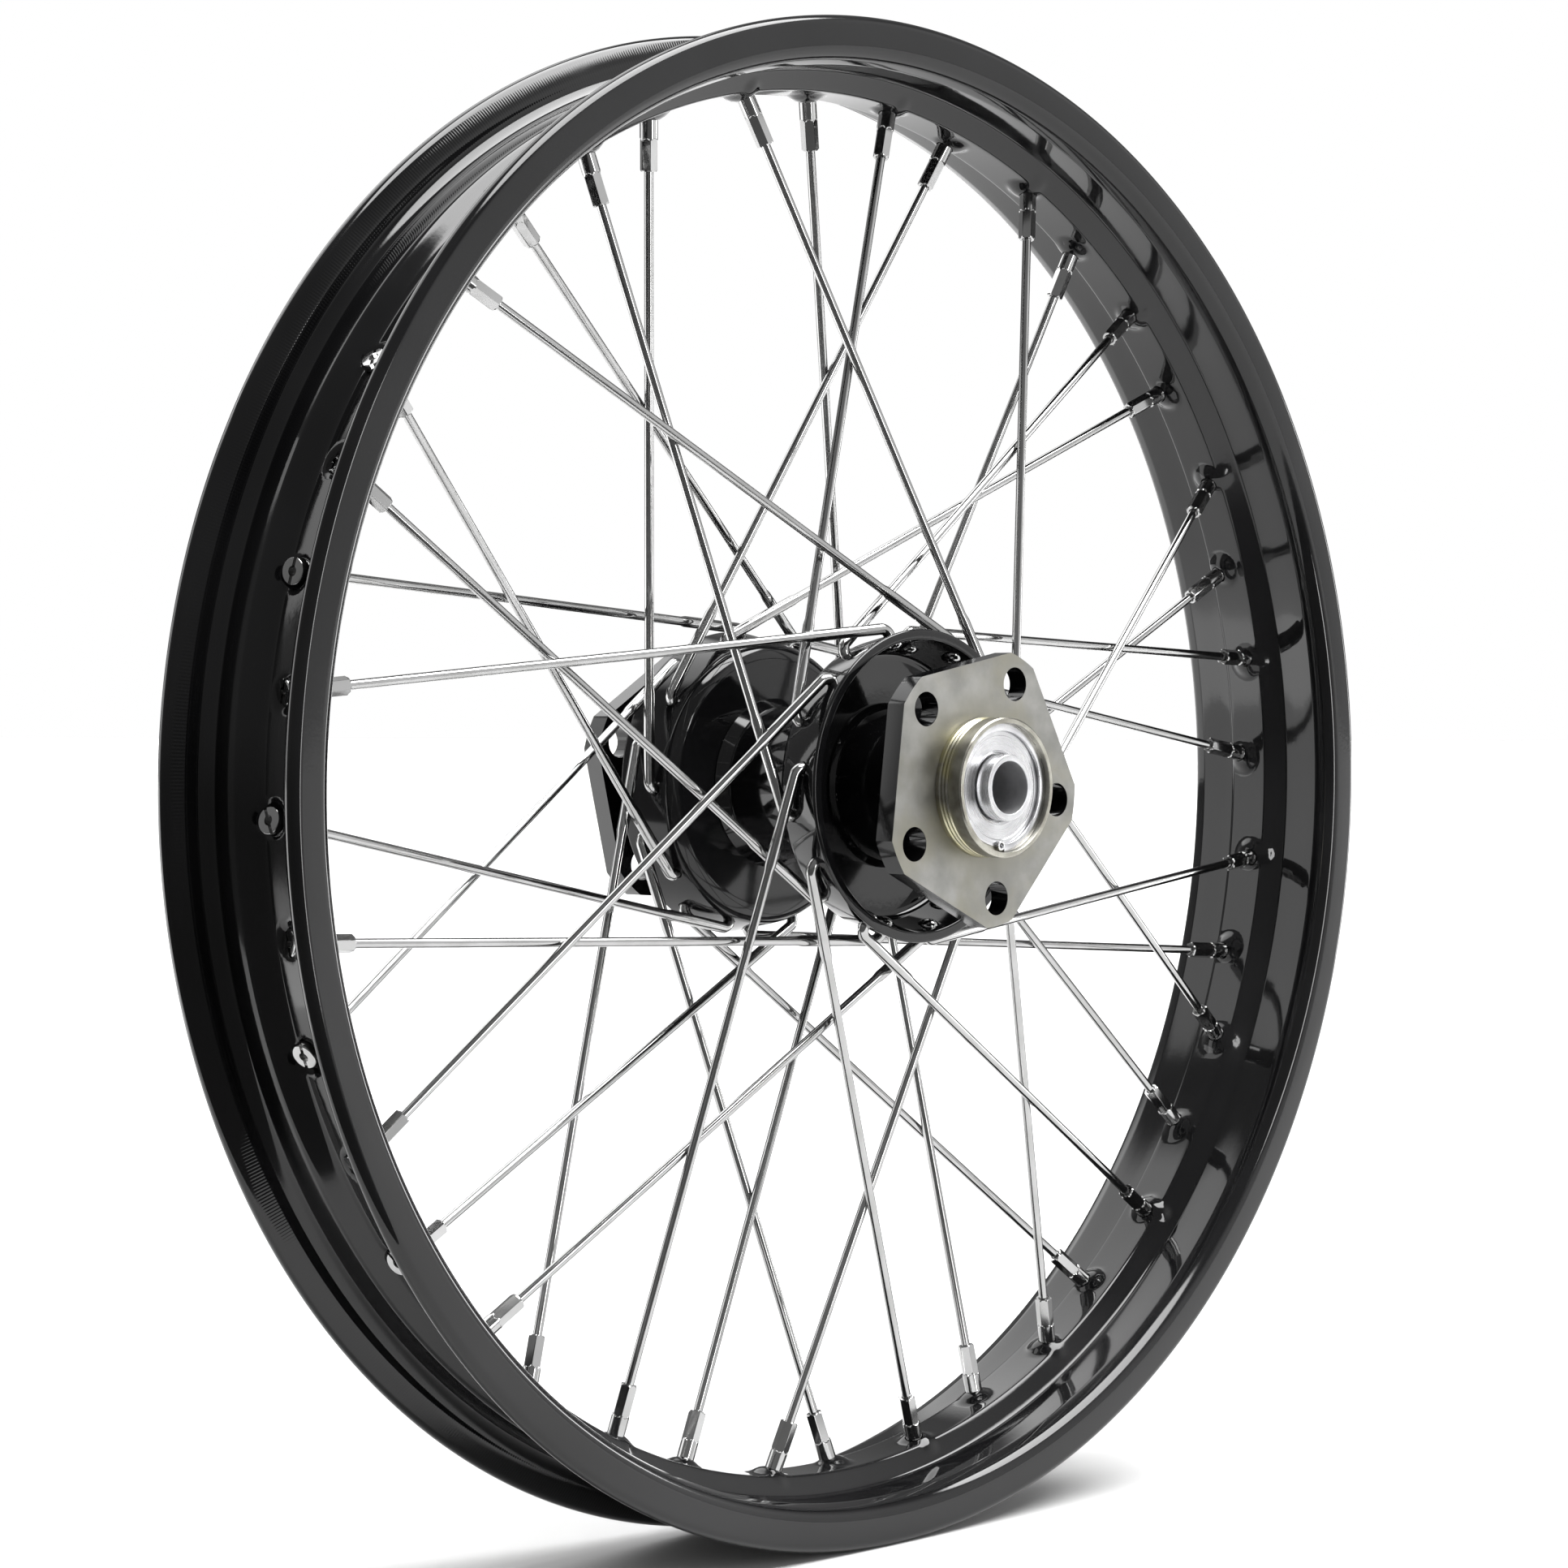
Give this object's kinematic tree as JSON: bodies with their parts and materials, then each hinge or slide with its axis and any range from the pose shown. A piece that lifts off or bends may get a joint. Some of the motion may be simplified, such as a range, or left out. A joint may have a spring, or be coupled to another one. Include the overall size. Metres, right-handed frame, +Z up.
{
  "type": "spoked motorcycle wheel",
  "caption": "Laced motorcycle front wheel: drop-centre rim, crossed spokes with nipples, star hub with disc flanges and caged roller bearings on an axle sleeve.",
  "frame": {"origin": "centre of the wheel, on the axle line, half way between the two sleeve ends", "axes": "+Y along the axle towards the wheel's right side, +Z up, +X across"},
  "size_m": [0.564, 0.1856, 0.564],
  "materials": {
    "gloss_black": "gloss black enamel",
    "machined_steel": "machined, lightly oiled face with black edges",
    "bearing_steel": "ground steel",
    "spring_steel": "bright spring steel",
    "bright_chrome": "bright chrome plate",
    "cage_bronze": "machined bronze",
    "cork": "pressed cork"
  },
  "bodies": {
    "axle_core": {"inner_sleeve": "bearing_steel", "thrust_collar_left": "bearing_steel", "thrust_collar_right": "bearing_steel"},
    "wheel": {"rim": "gloss_black", "hub_barrel": "gloss_black", "spokes_left_outer": "bright_chrome", "nipples_left_outer": "bright_chrome", "spokes_right_outer": "bright_chrome", "nipples_right_outer": "bright_chrome", "spokes_left_inner": "bright_chrome", "nipples_left_inner": "bright_chrome", "spokes_right_inner": "bright_chrome", "nipples_right_inner": "bright_chrome", "spoke_flange_left": "gloss_black", "star_flange_left": "machined_steel", "bearing_race_left": "bearing_steel", "thrust_washer_left": "bearing_steel", "cork_seal_left": "cork", "outer_washer_left": "bearing_steel", "lock_ring_left": "spring_steel", "spoke_flange_right": "gloss_black", "star_flange_right": "machined_steel", "bearing_race_right": "bearing_steel", "thrust_washer_right": "bearing_steel", "cork_seal_right": "cork", "outer_washer_right": "bearing_steel", "lock_ring_right": "spring_steel"},
    "left_roller_set": {"roller_cage_left": "cage_bronze", "rollers_left": "bearing_steel"},
    "right_roller_set": {"roller_cage_right": "cage_bronze", "rollers_right": "bearing_steel"}
  },
  "joints": [
    {"name": "wheel_spin", "type": "hinge", "parent": "axle_core", "child": "wheel", "pos_m": [0, 0, 0], "axis": [0, 1, 0], "continuous": true},
    {"name": "left_rollers_spin", "type": "hinge", "parent": "axle_core", "child": "left_roller_set", "pos_m": [0, -0.069, 0], "axis": [0, 1, 0], "continuous": true},
    {"name": "right_rollers_spin", "type": "hinge", "parent": "axle_core", "child": "right_roller_set", "pos_m": [0, 0.069, 0], "axis": [0, 1, 0], "continuous": true}
  ],
  "couplings": [
    {"joint": "left_rollers_spin", "follows": "wheel_spin", "ratio": 0.5863},
    {"joint": "right_rollers_spin", "follows": "wheel_spin", "ratio": 0.5863}
  ]
}
